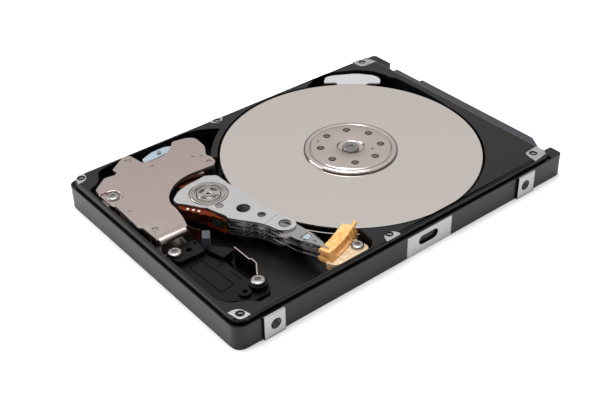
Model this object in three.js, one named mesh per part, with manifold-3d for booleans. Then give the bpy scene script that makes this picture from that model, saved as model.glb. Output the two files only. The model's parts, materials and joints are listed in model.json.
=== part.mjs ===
// An opened 2.5-inch hard disk drive. Millimetres: +X across, +Y towards the connector, +Z up,
// with the origin under the middle of the base.
import * as THREE from "three";
import { mergeVertices } from "three/addons/utils/BufferGeometryUtils.js";
import Module from "manifold-3d";

const wasm = await Module();
wasm.setup();

// ---- driving dimensions ---------------------------------------------------------------------
const HALF_WIDTH = 34.925; // across the machined side pads: 69.85 mm for the form factor
const HALF_LENGTH = 50.1; // 100.2 mm with the connector
const BODY_X = 34.4; // cast sides, a little inside the pads
const RIM_X = 33.6; // upper rim, set in from the ledge the cover's skirt lands on
const LEDGE_Z = 6.0;
const RIM_Z = 7.4;
const RIM_END_Y = 46.5;
const GUTTER_X = 34.05;
const WELL_FLOOR = 3.0;
const BAY_FLOOR = 1.6;
const ABOVE = 12; // where upward cuts end, clear of everything
const PCB_ROOF = 2.3; // roof of the recess the circuit board hides in
const PCB_Z = [0.75, 1.55];
const CHIP_Z = [PCB_Z[1], 2.2];
const SIDE_HOLES_Y = [36.1, -40.5]; // 14.0 and 90.6 mm from the connector end
const SIDE_HOLE_Z = 3.0;
const BOTTOM_HOLE_X = 30.86; // 61.72 mm apart
const M3_R = 1.25; // minor radius of the thread
const COVER_SCREW_R = 0.7;
const SHAFT_HOLE_R = 0.9; // around screws of 0.8 shank radius

const SPINDLE = [0.25, 10.3];
const DISK_R = 32.5;
const BORE_R = 10.0;
const WELL_R = 33.05;
const LOWER_DISK = [4.85, 5.485]; // 0.635 mm substrates
const UPPER_DISK = [6.695, 7.33];

const STATOR_Z = [1.95, 2.75];
const WINDING_Z = [1.45, 3.25];

const PIVOT = [-5.8, -28.4];
const SWAGE = [14.8, -22.1];
const ARM_AIM = 9.2; // direction of the suspensions from the swage holes when parked, degrees
const COIL_AIM = 170; // direction of the voice coil from the pivot when parked
const ARMS = { top: [7.75, 8.3], middle: [5.87, 6.27], bottom: [3.85, 4.43] };
// Each suspension: base plate, load beam and slider heights, from the top head down.
const HEADS = [
  { plate: [7.62, 7.75], beam: [7.62, 7.72], slider: [7.38, 7.62] },
  { plate: [6.27, 6.4], beam: [6.3, 6.4], slider: [6.4, 6.65] },
  { plate: [5.74, 5.87], beam: [5.74, 5.84], slider: [5.53, 5.74] },
  { plate: [4.43, 4.56], beam: [4.46, 4.56], slider: [4.56, 4.81] },
];
const COVER_SCREWS = [
  [31.8, -47.2], [-32.2, -47.3], [-31.7, 42.7], [30.9, 42.9], [31.95, -6.3], [-32.6, -7.0],
];
const PCB_SCREWS = [[-29, -6.5], [29, -6.5], [-22.5, 41], [22.5, 41]];
const BRACKET_SCREWS = [[4.8, -45.2], [24.3, -37.0]];
const YOKE_SCREW = [-19.5, -46.0];
const YOKE_Z = { bottom: [BAY_FLOOR, 2.6], top: [7.4, 8.3] };
const MAGNET_R = [10.2, 20.3]; // about the pivot
const MAGNET_SPAN = [151, 232]; // degrees
const MAGNET_Z = { bottom: [YOKE_Z.bottom[1], 4.4], top: [6.5, YOKE_Z.top[0]] };
const FLEX_THICKNESS = 0.14;
const YOKE_POSTS = [[-2.3, -45.2], [-29.8, -35.2]];
const RAMP_SCREW = [29.0, -13.0];
const LATCH = [-30.2, -26.5];

// ---- finishes: colour, roughness, metalness -------------------------------------------------
const FINISHES = {
  ecoat: [0x2c2c2e, 0.55, 0.3],
  board: [0x1f4a36, 0.6, 0.0],
  epoxy: [0x1c1c1e, 0.6, 0.0],
  darkPlastic: [0x2a2a2c, 0.6, 0.0],
  bluePlastic: [0x4a4953, 0.6, 0.0],
  gold: [0xd4b06a, 0.3, 1.0],
  steel: [0xb9bbbd, 0.35, 1.0],
  platter: [0xd6d1cd, 0.05, 1.0],
  polished: [0xdcdcdc, 0.15, 1.0],
  nickel: [0xaaa39c, 0.4, 1.0],
  magnet: [0x9c9c9e, 0.35, 1.0],
  aluminium: [0xcfcfd2, 0.35, 1.0],
  copper: [0xc4703a, 0.35, 1.0],
  laminate: [0x6b6d70, 0.5, 1.0],
  flex: [0x5e2a0e, 0.35, 0.0],
  amberPlastic: [0xe29a48, 0.4, 0.0],
  whitePlastic: [0xdfe4ea, 0.5, 0.0],
  filter: [0xf0f0f0, 0.9, 0.0],
  rubber: [0x3a3a3a, 0.9, 0.0],
  ceramic: [0x3b3b40, 0.3, 0.2],
};

// ---- building blocks ------------------------------------------------------------------------
const group = new THREE.Group();
const radians = THREE.MathUtils.degToRad;
const polar = ([x, y], r, degrees) =>
  [x + r * Math.cos(radians(degrees)), y + r * Math.sin(radians(degrees))];

function solid(geometry) {
  geometry.deleteAttribute("normal");
  geometry.deleteAttribute("uv");
  const merged = mergeVertices(geometry, 1e-4);
  return new wasm.Manifold(new wasm.Mesh({
    numProp: 3,
    vertProperties: merged.attributes.position.array,
    triVerts: new Uint32Array(merged.index.array),
  }));
}

const join = (...solids) => solids.reduce((a, b) => a.add(b));
const cut = (body, ...tools) => tools.reduce((a, b) => a.subtract(b), body);

function add(name, body, finish) {
  const made = body.getMesh();
  const geometry = new THREE.BufferGeometry()
    .setAttribute("position", new THREE.BufferAttribute(new Float32Array(made.vertProperties), 3))
    .setIndex(new THREE.BufferAttribute(new Uint32Array(made.triVerts), 1));
  geometry.computeVertexNormals();
  const [color, roughness, metalness] = FINISHES[finish];
  const mesh = new THREE.Mesh(
    geometry,
    new THREE.MeshStandardMaterial({ color, roughness, metalness }),
  );
  mesh.name = name;
  group.add(mesh);
}

/** A point on the way from one corner to another, at most half way along. */
function towards([x, y], [tx, ty], distance) {
  const length = Math.hypot(tx - x, ty - y);
  const share = Math.min(distance / length, 0.5);
  return [x + (tx - x) * share, y + (ty - y) * share];
}

/** A closed outline through the corners, each softened by its third value. */
function outline(corners, soft = 0) {
  const shape = new THREE.Shape();
  corners.forEach((corner, i) => {
    const size = corner[2] ?? soft;
    const before = towards(corner, corners.at(i - 1), size);
    const after = towards(corner, corners[(i + 1) % corners.length], size);
    if (i) shape.lineTo(...before);
    else shape.moveTo(...before);
    if (size) shape.quadraticCurveTo(corner[0], corner[1], ...after);
  });
  shape.closePath();
  return shape;
}

function prism(shape, [z0, z1], curveSegments = 2) {
  const options = { depth: z1 - z0, bevelEnabled: false, curveSegments };
  return solid(new THREE.ExtrudeGeometry(shape, options).translate(0, 0, z0));
}

const slab = (corners, heights, soft = 0, curveSegments = 2) =>
  prism(outline(corners, soft), heights, curveSegments);

function box([x0, x1], [y0, y1], [z0, z1]) {
  return solid(new THREE.BoxGeometry(x1 - x0, y1 - y0, z1 - z0)
    .translate((x0 + x1) / 2, (y0 + y1) / 2, (z0 + z1) / 2));
}

function disc([x, y], r, [z0, z1], segments = 24) {
  return solid(new THREE.CylinderGeometry(r, r, z1 - z0, segments)
    .rotateX(Math.PI / 2)
    .translate(x, y, (z0 + z1) / 2));
}

/** A turned piece: radius and height pairs, anticlockwise, starting on the axis or closing. */
function turned(profile, [x, y], segments = 36) {
  const closed = profile[0][0] === 0 ? profile : [...profile, profile[0]];
  const points = closed.map(([r, z]) => new THREE.Vector2(r, z));
  return solid(new THREE.LatheGeometry(points, segments)
    .rotateX(Math.PI / 2)
    .translate(x, y, 0));
}

const ring = (at, inner, outer, [z0, z1], segments = 36) =>
  turned([[inner, z0], [outer, z0], [outer, z1], [inner, z1]], at, segments);

/** A slice of a ring between two directions in degrees. */
function sector(at, inner, outer, [from, to], heights, segments = 16) {
  const shape = new THREE.Shape();
  shape.absarc(...at, outer, radians(from), radians(to), false);
  shape.absarc(...at, inner, radians(to), radians(from), true);
  shape.closePath();
  return prism(shape, heights, segments);
}

/** Corners given along and across a direction, turned into place. */
const aimed = (at, degrees, corners) =>
  corners.map(([along, across, ...rest]) => {
    const [x, y] = polar(at, along, degrees);
    return [...polar([x, y], across, degrees + 90), ...rest];
  });

/** A hole or peg along X. */
function crossDisc([x0, x1], [y, z], r, segments = 16) {
  return solid(new THREE.CylinderGeometry(r, r, x1 - x0, segments)
    .rotateZ(Math.PI / 2)
    .translate((x0 + x1) / 2, y, z));
}

const grown = (corners, [x, y], scale) =>
  corners.map(([cx, cy, ...rest]) => [x + (cx - x) * scale, y + (cy - y) * scale, ...rest]);

/** A pan-head screw: head height, shank end and the two radii. */
function screw(at, headR, shankR, [head, seat, end]) {
  const height = head - seat;
  const profile = [
    [0, end], [shankR, end], [shankR, seat], [headR, seat],
    [headR, seat + 0.55 * height], [headR * 0.8, head], [0, head],
  ];
  const socket = disc(at, headR * 0.42, [head - 0.45 * height, head + 1], 6);
  return cut(turned(profile, at, 16), socket);
}

// ---- base casting ---------------------------------------------------------------------------
const BAY = [
  [24.0, -6.0], [24.9, -9.4], [26.4, -10.0, 0.5], [31.3, -10.5, 0.8], [32.9, -12.3, 0.8],
  [33.1, -38.0, 1], [32.3, -41.3, 1], [29.8, -43.2, 1], [27.9, -46.9, 1], [25.2, -48.4, 1],
  [-26.4, -48.4, 0.8], [-27.6, -45.5, 1], [-29.3, -44.1, 1], [-31.7, -43.1, 1], [-32.4, -41.0, 1],
  [-33.0, -36.0, 1], [-33.1, -27.2, 2], [-32.7, -21.5, 2], [-32.9, -16.8, 1.5],
  [-32.0, -13.3, 1.5], [-29.5, -9.2, 1], [-24.0, -6.0],
];
const FILTER_POCKET = [
  [-31.0, 22.0], [-32.9, 26.0, 1], [-33.2, 30.3, 1], [-32.6, 32.6, 1], [-29.2, 38.6, 1],
  [-25.4, 41.6, 1], [-21.6, 42.6, 1], [-12, 42.0], [-14.0, 34.0], [-24.0, 20.0],
];
const REAR_CHANNEL = [
  [-23.4, 41.4], [-22.7, 42.4, 0.5], [-20.8, 42.3, 0.5], [-18.4, 43.7, 1], [-9.3, 43.9, 1],
  [-2, 43.8, 2], [5.5, 42.6], [0, 38], [-18, 38],
];

const BOARD_EDGE = [
  [-32.9, -10], [-16, -10], [-12, -14], [12, -14], [16, -10], [32.9, -10],
  [32.9, 30], [27.2, 33.4], [27.2, 48.6], [-26.2, 48.6], [-26.2, 33.4], [-32.9, 30],
];
const BOARD_RECESS = [
  [-33.2, -10.3, 1], [-16.1, -10.3, 1], [-12.1, -14.3, 1], [12.1, -14.3, 1], [16.1, -10.3, 1],
  [33.2, -10.3, 1], [33.2, 30.2], [27.5, 33.6], [27.5, 52], [-26.5, 52], [-26.5, 33.6],
  [-33.2, 30.2],
];

const CORNER_STEPS = 6; // on the outer corners, which show
const RIM_OUTLINE = [
  [-RIM_X, -49.4, 3], [RIM_X, -49.4, 3], [RIM_X, RIM_END_Y, 2.4], [-RIM_X, RIM_END_Y, 2.4],
];

/** A box on both sides of the middle, between two distances from it. */
const bothSides = ([inner, outer], span, heights) =>
  join(box([inner, outer], span, heights), box([-outer, -inner], span, heights));

function castingBlank() {
  const body = slab([
    [-BODY_X, -HALF_LENGTH, 2.8], [BODY_X, -HALF_LENGTH, 2.8], [BODY_X, 50.0, 1.4],
    [30.5, 50.0, 0.6], [30.5, 46.6], [-27.4, 46.6], [-27.4, 50.0, 0.6], [-BODY_X, 50.0, 1.4],
  ], [0, LEDGE_Z], 0, CORNER_STEPS);
  const rim = slab(RIM_OUTLINE, [LEDGE_Z - 1, RIM_Z], 0, CORNER_STEPS);
  // A shallow gutter at the foot of the rim leaves a lip along the top of the sides.
  const gutter = slab([
    [-GUTTER_X, -49.8, 3], [GUTTER_X, -49.8, 3], [GUTTER_X, RIM_END_Y], [-GUTTER_X, RIM_END_Y],
  ], [LEDGE_Z - 0.5, LEDGE_Z + 1], 0, CORNER_STEPS);
  const pads = [[-43.6, -38.0], [33.5, 39.3]].map((span) =>
    bothSides([BODY_X - 0.5, HALF_WIDTH], span, [0, LEDGE_Z]));
  return join(cut(join(body, ...pads), gutter), rim);
}

function castingCavity() {
  const bay = slab(BAY, [WELL_FLOOR, ABOVE]);
  const bayDeep = cut(slab(BAY, [BAY_FLOOR, ABOVE]), disc(SPINDLE, 35.6, [0, 13], 60));
  const well = disc(SPINDLE, WELL_R, [WELL_FLOOR, ABOVE], 72);
  const shroud = sector(SPINDLE, WELL_R - 0.01, 34.6, [208, 236], [0, RIM_Z]);
  const screwBlocks = bothSides([28.9, 34], [-43.4, -37.6], [0, 4.7]);
  const open = cut(join(bay, bayDeep), shroud, screwBlocks);
  const pockets = [FILTER_POCKET, REAR_CHANNEL].map((edge) => slab(edge, [WELL_FLOOR, ABOVE]));
  return join(open, well, ...pockets);
}

function castingHoles() {
  const tools = COVER_SCREWS.map((at) => disc(at, COVER_SCREW_R, [4.6, 8], 10));
  PCB_SCREWS.forEach((at) => tools.push(disc(at, 0.85, [0, 2.45], 10)));
  for (const y of SIDE_HOLES_Y) {
    for (const side of [-1, 1]) {
      tools.push(disc([side * BOTTOM_HOLE_X, y], M3_R, [-1, 2.3], 16));
      const span = [side * 32.4, side * 36].sort((a, b) => a - b);
      tools.push(crossDisc(span, [y, SIDE_HOLE_Z], M3_R));
    }
  }
  return tools;
}

function baseCasting() {
  const recess = cut(
    slab(BOARD_RECESS, [-1, PCB_ROOF]),
    disc(SPINDLE, 13.8, [0.4, 3], 36),
    ...PCB_SCREWS.map((at) => disc(at, 2.1, [PCB_Z[1], 3], 14)),
  );
  const socket = box([-24.4, 28.6], [44.6, 47.5], [1, 5.5]);
  const hollow = cut(
    castingBlank(),
    castingCavity(),
    recess,
    socket,
    disc(SPINDLE, 12.3, [1.2, 4], 36),
    box([33.8, 36], [0.8, 6.8], [1.9, 4.4]),
  );
  const bosses = join(
    hollow,
    disc(SPINDLE, 4.3, [1.1, 3.0], 28),
    disc(PIVOT, 5.2, [1.5, 2.8], 28),
    disc(RAMP_SCREW, 2.2, [2.9, 4.8], 32),
    ...BRACKET_SCREWS.map((at) => disc(at, 1.6, [1.5, 2.4], 24)),
  );
  return cut(
    bosses,
    disc(SPINDLE, 3.25, [-1, 4], 28),
    disc(PIVOT, 1.25, [1.0, 4], 14),
    disc(RAMP_SCREW, 0.85, [3.2, 6], 10),
    ...castingHoles(),
  );
}

add("base_casting", baseCasting(), "ecoat");

// ---- circuit board and connector ------------------------------------------------------------
const board = cut(
  slab(BOARD_EDGE, PCB_Z, 1),
  disc(SPINDLE, 14.3, [0, 3], 36),
  ...PCB_SCREWS.map((at) => disc(at, 1.0, [0, 3], 10)),
);
add("pcb", board, "board");
add("controller_chip", box([14.5, 26.5], [17, 29], CHIP_Z), "epoxy");
add("cache_chip", box([-24.5, -16.5], [17, 29], CHIP_Z), "epoxy");
add("motor_driver_chip", box([-23, -16], [-7.5, -0.5], CHIP_Z), "epoxy");
PCB_SCREWS.forEach((at, i) => {
  const turnedOver = turned([
    [0, 0.15], [1.3, 0.15], [1.7, 0.4], [1.7, PCB_Z[0]], [0.8, PCB_Z[0]], [0.8, 2.3], [0, 2.3],
  ], at, 14);
  add(`pcb_screw_${i + 1}`, cut(turnedOver, disc(at, 0.6, [0, 0.45], 6)), "steel");
});

const PLUGS = [[-14.0, -3.3], [-2.1, 23.2]]; // signal, then power
function connector() {
  const shell = slab([
    [-24, 46.7], [28.2, 46.7], [28.2, 48.0], [24.65, HALF_LENGTH], [-14.8, HALF_LENGTH],
    [-15, 49.1], [-24, 49.1],
  ], [1.6, 5.95]);
  const root = box([-23.9, 28.1], [44.8, 46.8], [1.6, 5.4]);
  const pockets = PLUGS.map(([x0, x1]) => box([x0, x1], [45.1, 52], [2.0, 5.1]));
  const tongues = PLUGS.map(([x0, x1]) => box([x0 + 0.9, x1 - 0.9], [45.0, 49.5], [2.95, 4.1]));
  const keys = PLUGS.map(([x0]) => box([x0 + 0.9, x0 + 2.0], [45.0, 49.5], [2.3, 3.5]));
  const jumperPocket = box([-23.4, -15.6], [46.0, 52], [2.1, 5.1]);
  return join(cut(join(shell, root), ...pockets, jumperPocket), ...tongues, ...keys);
}

const CONTACT_PITCH = 1.27;
const CONTACT_WIDTH = 0.8;
const CONTACT_Z = [2.72, 2.92];
/** A row of spring contacts under a tongue, held by their common bar. */
function contacts(start, count) {
  const blades = Array.from({ length: count }, (_, i) => {
    const x = start + i * CONTACT_PITCH;
    return box([x, x + CONTACT_WIDTH], [45.15, 49.0], CONTACT_Z);
  });
  const end = start + (count - 1) * CONTACT_PITCH + CONTACT_WIDTH;
  return join(box([start, end], [45.15, 45.5], CONTACT_Z), ...blades);
}

const PIN_HALF = 0.25; // half the side of a square pin
function jumperPins() {
  const pins = [];
  for (const z of [2.9, 4.3]) {
    for (const x of [-22.5, -20.5, -18.5, -16.5]) {
      pins.push(box([x - PIN_HALF, x + PIN_HALF], [46.05, 48.6], [z - PIN_HALF, z + PIN_HALF]));
    }
  }
  return join(box([-22.9, -16.1], [46.05, 46.35], [2.5, 4.7]), ...pins);
}

add("sata_connector", connector(), "bluePlastic");
add("signal_contacts", contacts(-11.9, 6), "gold");
add("power_contacts", contacts(0.1, 15), "gold");
add("jumper_pins", jumperPins(), "gold");

// ---- spindle motor and disk pack ------------------------------------------------------------
const POLES = 9;
function statorCore() {
  const teeth = Array.from({ length: POLES }, (_, i) => {
    const aim = (360 / POLES) * i;
    const stem = [[5, -0.6], [8.6, -0.6], [8.6, 0.6], [5, 0.6]];
    const tip = [[8.3, -2.1], [8.7, -2.2], [8.7, 2.2], [8.3, 2.1]];
    return join(...[stem, tip].map((corners) => slab(aimed(SPINDLE, aim, corners), STATOR_Z)));
  });
  return join(ring(SPINDLE, 4.35, 5.3, STATOR_Z, 27), ...teeth);
}

function statorWindings() {
  const coils = Array.from({ length: POLES }, (_, i) => {
    const aim = (360 / POLES) * i;
    const wrap = [[5.7, -1.1], [8.0, -1.6], [8.0, 1.6], [5.7, 1.1]];
    const core = [[5, -0.65], [9, -0.65], [9, 0.65], [5, 0.65]];
    return cut(
      slab(aimed(SPINDLE, aim, wrap), WINDING_Z),
      slab(aimed(SPINDLE, aim, core), [STATOR_Z[0] - 0.05, STATOR_Z[1] + 0.05]),
    );
  });
  return join(ring(SPINDLE, 5.5, 6.0, [WINDING_Z[0], 1.8], 27), ...coils);
}

add("bearing_sleeve", turned([
  [0, 0.6], [3.2, 0.6], [3.2, 3.8], [1.56, 3.8], [1.56, 1.15], [0, 1.15],
], SPINDLE, 28), "steel");
add("stator_core", statorCore(), "laminate");
add("stator_windings", statorWindings(), "copper");
add("spindle_shaft", disc(SPINDLE, 1.5, [1.25, 5.4], 28), "steel");
add("spindle_hub", turned([
  [1.55, 4.1], [10.6, 4.1], [10.6, 1.75], [11.6, 1.75], [11.6, LOWER_DISK[0]],
  [9.95, LOWER_DISK[0]], [9.95, 7.2], [0.85, 7.2], [0.85, 5.45], [1.55, 5.45],
], SPINDLE, 36), "aluminium");
add("rotor_magnet", ring(SPINDLE, 9.4, 10.55, [1.85, 3.9], 36), "magnet");
add("lower_platter", ring(SPINDLE, BORE_R, DISK_R, LOWER_DISK, 72), "platter");
add("platter_spacer", ring(SPINDLE, BORE_R, 11.6, [LOWER_DISK[1], UPPER_DISK[0]], 36), "steel");
add("upper_platter", ring(SPINDLE, BORE_R, DISK_R, UPPER_DISK, 72), "platter");

function diskClamp() {
  const plate = turned([
    [0.95, 7.3], [9.9, 7.3], [9.9, 7.33], [11.7, 7.33], [11.7, 7.5], [11.55, 7.75],
    [11.2, 8.0], [10.7, 8.18], [10.2, 8.25], [3.3, 8.25], [2.35, 7.7], [0.95, 7.7],
  ], SPINDLE, 40);
  const ports = Array.from({ length: 8 }, (_, i) =>
    disc(polar(SPINDLE, 7.5, 11.9 + 45 * i), 0.95, [7, 9], 10));
  const pins = [[8.4, -145.6], [5.5, 35.8]].map(([r, a]) =>
    disc(polar(SPINDLE, r, a), 0.35, [7.9, 9], 8));
  return cut(plate, ...ports, ...pins);
}
add("disk_clamp", diskClamp(), "polished");
add("clamp_screw", screw(SPINDLE, 2.1, 0.8, [8.2, 7.7, 5.6]), "steel");

// ---- actuator -------------------------------------------------------------------------------
const ARM = [
  [-7.1, -22.6, 0.4], [-2.4, -21.9, 1], [5.8, -21.6, 1], [11.0, -20.8, 1], [15.6, -19.6, 1],
  [17.2, -20.6, 1], [17.4, -22.6, 1], [16.2, -24.6, 1], [12.9, -25.4, 1], [10.5, -26.6, 1],
  [7.3, -29.0, 1], [4.9, -30.6, 0.4], [4.0, -30.4, 0.4], [-1.3, -32.0, 1], [-6.0, -30.0],
];
const TAIL = [
  [-6.1, -35.2, 0.3], [-7.3, -36.2, 0.3], [-8.8, -36.2, 0.5], [-9.6, -35.4, 0.5],
  [-11.2, -33.2, 1], [-12.0, -29.8, 1], [-12.2, -26.6, 1], [-12.5, -25.0, 0.6],
  [-10.8, -22.5, 0.6], [-9.2, -22.5, 0.6], [-7.1, -22.4], [-3.0, -24.0], [-1.3, -32.0, 0.5],
];
const TOP_LEFT = [
  [-10.8, -22.4, 0.6], [-9.2, -22.4, 0.6], [-7.1, -21.9, 0.6], [-2.4, -21.9], [-4.0, -26.0],
];

function eBlock() {
  const hub = join(disc(PIVOT, 5.6, [3.5, 8.3], 36), slab(TAIL, [3.5, 8.3]));
  const arms = Object.values(ARMS).map((heights) => slab(ARM, heights));
  const body = join(hub, slab(TOP_LEFT, ARMS.top), ...arms);
  const holes = [[[-0.2, -29.3], 1.0, 7.0], [[4.1, -25.7], 1.65, 0], [[8.8, -24.0], 1.0, 0],
    [SWAGE, 1.5, 0]].map(([at, r, z]) => disc(at, r, [z, 9], 16));
  return cut(body, disc(PIVOT, 4.75, [3, 9], 36), ...holes);
}

// The coil's two loops, along and across its own direction from the pivot.
const COIL_OUTER = [[8.5, -4.2, 1.2], [19.5, -7.6, 2.6], [19.5, 7.6, 2.6], [8.5, 4.2, 1.2]];
const COIL_INNER = [[11.6, -1.7, 0.8], [16.6, -4.0, 1.6], [16.6, 4.0, 1.6], [11.6, 1.7, 0.8]];
const COIL_Z = [4.85, 6.15];
const atCoil = (corners) => aimed(PIVOT, COIL_AIM, corners);

function coilFrame() {
  const plate = slab(atCoil([
    [4, -5.0], [8.4, -5.0, 1], [19.9, -8.3, 3], [20.4, 0, 3], [19.9, 8.3, 3], [8.4, 5.0, 1],
    [4, 5.0],
  ]), [4.95, 6.05]);
  const body = slab(grown(TAIL, PIVOT, 1.05), [4, 7]);
  const loop = slab(atCoil([
    [8.45, -4.25, 1.2], [19.55, -7.65, 2.6], [19.55, 7.65, 2.6], [8.45, 4.25, 1.2],
  ]), [4, 7]);
  return cut(plate, body, disc(PIVOT, 6.6, [4, 7], 36), loop);
}

const SLOT = [[-2.3, -0.3], [2.3, -0.3], [2.3, 0.3], [-2.3, 0.3]]; // for the assembly driver
add("pivot_shaft", cut(
  turned([
    [0, 1.9], [1.2, 1.9], [1.2, 2.8], [3.6, 2.8], [3.6, 3.15], [2.76, 3.15], [2.76, 8.45],
    [1.1, 8.45], [1.1, 6.4], [0, 6.4],
  ], PIVOT, 28),
  ...[20, 110].map((degrees) => slab(aimed(PIVOT, degrees, SLOT), [7.9, 9])),
), "steel");
add("pivot_sleeve", ring(PIVOT, 2.84, 4.7, [3.35, 8.4], 36), "steel");
add("e_block", eBlock(), "aluminium");
add("voice_coil", cut(slab(atCoil(COIL_OUTER), COIL_Z), slab(atCoil(COIL_INNER), [4, 7])),
  "copper");
add("coil_overmold", coilFrame(), "darkPlastic");

const FLEX_EDGE = [[-6.2, -35.75], [-1.35, -32.35], [4.6, -30.75]];
/** A thin upright sheet along a path, its thickness to the path's right. */
function alongWall(path, thickness, heights) {
  const far = path.map(([x, y], i) => {
    const [ax, ay] = path[Math.max(i - 1, 0)], [bx, by] = path[Math.min(i + 1, path.length - 1)];
    const length = Math.hypot(bx - ax, by - ay);
    return [x + (by - ay) / length * thickness, y - (bx - ax) / length * thickness];
  });
  return slab([...path, ...far.reverse()], heights);
}
add("arm_flex", join(
  alongWall(FLEX_EDGE, FLEX_THICKNESS, [4.0, 7.7]),
  slab([[-6.2, -35.75], [-1.35, -32.35], [-0.3, -33.5, 0.4], [-4.9, -36.7, 0.4]], [7.6, 7.75]),
), "flex");
add("preamp_chip", slab(aimed([0.95, -31.94], 15, [[0, 0], [2.6, 0], [2.6, -0.5], [0, -0.5]]),
  [5.0, 6.9]), "epoxy");

const atArm = (corners) => aimed(SWAGE, ARM_AIM, corners);
HEADS.forEach(({ plate, beam, slider }, i) => {
  const base = slab(atArm([[-2.6, -2.3, 1], [5.3, -2.1, 0.3], [5.3, 1.9, 0.3], [-2.6, 2.3, 1]]),
    plate);
  const leaf = slab(atArm([
    [4.6, -2.1], [6.6, -1.9, 0.5], [11.0, -0.7, 0.3], [11.4, -0.25], [12.9, -0.25, 0.1],
    [12.9, 0.25, 0.1], [11.4, 0.25], [11.0, 0.7, 0.3], [6.6, 1.8, 0.5], [4.6, 1.9],
  ]), beam);
  add(`suspension_${i + 1}`, cut(join(base, leaf), disc(SWAGE, 1.35, [0, 9], 20)), "steel");
  add(`slider_${i + 1}`,
    slab(atArm([[9.5, -0.45], [10.7, -0.45], [10.7, 0.45], [9.5, 0.45]]), slider), "ceramic");
});

// ---- voice-coil motor -----------------------------------------------------------------------
const TOP_YOKE = [
  [-24.2, -47.8, 0.5], [-27.2, -43.7, 0.5], [-26.7, -41.1, 0.4], [-27.3, -40.2, 0.3],
  [-29.0, -40.4, 0.4], [-32.3, -35.4, 0.5], [-31.6, -33.9, 0.4], [-30.2, -33.6, 0.3],
  [-27.0, -33.2, 0.4], [-26.3, -31.4, 0.8], [-26.2, -28.6, 1], [-26.7, -26.4, 1],
  [-28.3, -24.1, 0.8], [-30.3, -22.3, 0.6], [-29.8, -20.3, 1], [-29.4, -18.5, 1],
  [-28.2, -17.1, 0.8], [-26.3, -17.0, 1], [-23.2, -17.3, 1], [-19.8, -19.4, 0.8],
  [-18.3, -18.8, 0.5], [-16.2, -19.1, 0.4], [-15.0, -20.4, 0.5], [-15.2, -23.5, 1],
  [-15.5, -27.1, 2], [-15.1, -30.2, 2], [-13.5, -33.5, 2], [-10.8, -36.3, 1.5],
  [-8.1, -37.4, 0.8], [-5.6, -37.5, 0.8], [-1.5, -38.3, 1], [2.0, -39.4, 0.3],
  [2.3, -40.5], [2.3, -47.2, 0.3], [-4.7, -47.3], [-5.7, -47.9, 0.3], [-15.7, -47.6, 0.3],
  [-21.1, -48.1, 0.3],
];
const BOTTOM_YOKE = [
  [-30.8, -36.8, 1], [-30.9, -22.5, 1], [-28.5, -18.6, 1], [-20.2, -20.6, 1],
  [-15.9, -22.3, 0.6], [-15.7, -28.0, 2], [-13.8, -33.7, 2], [-10.5, -37.0, 1],
  [-5.6, -38.0, 1], [0.6, -39.0, 0.6], [0.6, -47.4, 0.6], [-25.0, -47.4, 1],
  [-28.2, -43.9, 0.5], [-28.3, -37.2, 0.5],
];

add("vcm_bottom_yoke", cut(
  slab(BOTTOM_YOKE, YOKE_Z.bottom),
  disc(YOKE_SCREW, SHAFT_HOLE_R, [1, 3], 16),
), "nickel");
const flange = box([1.4, 2.3], [-46.9, -39.9], [6.4, 7.6]);
add("vcm_top_yoke", cut(
  join(slab(TOP_YOKE, YOKE_Z.top), flange),
  disc(YOKE_SCREW, 1.7, [7.9, 9], 24),
  disc(YOKE_SCREW, SHAFT_HOLE_R, [7, 9], 16),
  ...YOKE_POSTS.map((at) => disc(at, 0.8, [7, 9], 16)),
), "nickel");
for (const [place, heights] of Object.entries(MAGNET_Z)) {
  add(`vcm_${place}_magnet`, sector(PIVOT, ...MAGNET_R, MAGNET_SPAN, heights, 12), "magnet");
}
YOKE_POSTS.forEach((at, i) => {
  add(`yoke_post_${i + 1}`, turned([
    [0, 2.6], [1.2, 2.6], [1.2, 7.4], [0.75, 7.4], [0.75, 8.35], [0, 8.35],
  ], at, 24), "steel");
});
add("yoke_screw_post", ring(YOKE_SCREW, 0.88, 1.2, [2.6, 7.4], 20), "steel");
add("yoke_screw", screw(YOKE_SCREW, 1.5, 0.8, [8.45, 7.9, 4.0]), "steel");
add("crash_stop_outer", disc([-16.9, -19.5], 0.6, [WELL_FLOOR, 7.3], 20), "rubber");
add("crash_stop_inner", disc([-13.6, -44.3], 0.9, [2.6, 7.3], 20), "rubber");

add("latch_pin", disc(LATCH, 0.5, [2.6, 7.2], 20), "steel");
add("inertia_latch", cut(slab([
  [-29.1, -31.6, 0.4], [-30.6, -31.2, 0.6], [-31.9, -27.5, 1], [-31.9, -23.6, 1],
  [-31.0, -22.2, 0.6], [-29.7, -22.6, 0.6], [-29.1, -25.5, 1], [-28.8, -28.5, 1],
], [4.6, 6.6]), disc(LATCH, 0.56, [4, 7], 20)), "whitePlastic");

// ---- ramp -----------------------------------------------------------------------------------
const DISK_SLOT_R = 33.0; // how far the ramp's slots reach past the disks' edge
function ramp() {
  const spine = sector(PIVOT, 35.0, 36.4, [11.5, 33], [3.3, 8.0], 8);
  const lanes = [[4.61, 5.69], [6.45, 7.56]].map((heights) =>
    sector(PIVOT, 32.45, 35.1, [11.5, 30.6], heights, 8));
  const foot = slab([
    [26.6, -11.6, 0.8], [30.6, -11.0, 1], [31.6, -12.4, 1], [31.2, -21.0, 1], [28.8, -22.2, 0.6],
    [28.6, -17.0, 1],
  ], [4.8, 5.6]);
  const slots = [LOWER_DISK, UPPER_DISK].map(([z0, z1]) =>
    disc(SPINDLE, DISK_SLOT_R, [z0 - 0.1, z1 + 0.1], 72));
  return cut(
    join(spine, foot, ...lanes),
    ...slots,
    disc(RAMP_SCREW, SHAFT_HOLE_R, [4, 7], 16),
    disc(RAMP_SCREW, 2.5, [3, 4.8], 24),
  );
}
add("load_ramp", ramp(), "amberPlastic");
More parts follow.
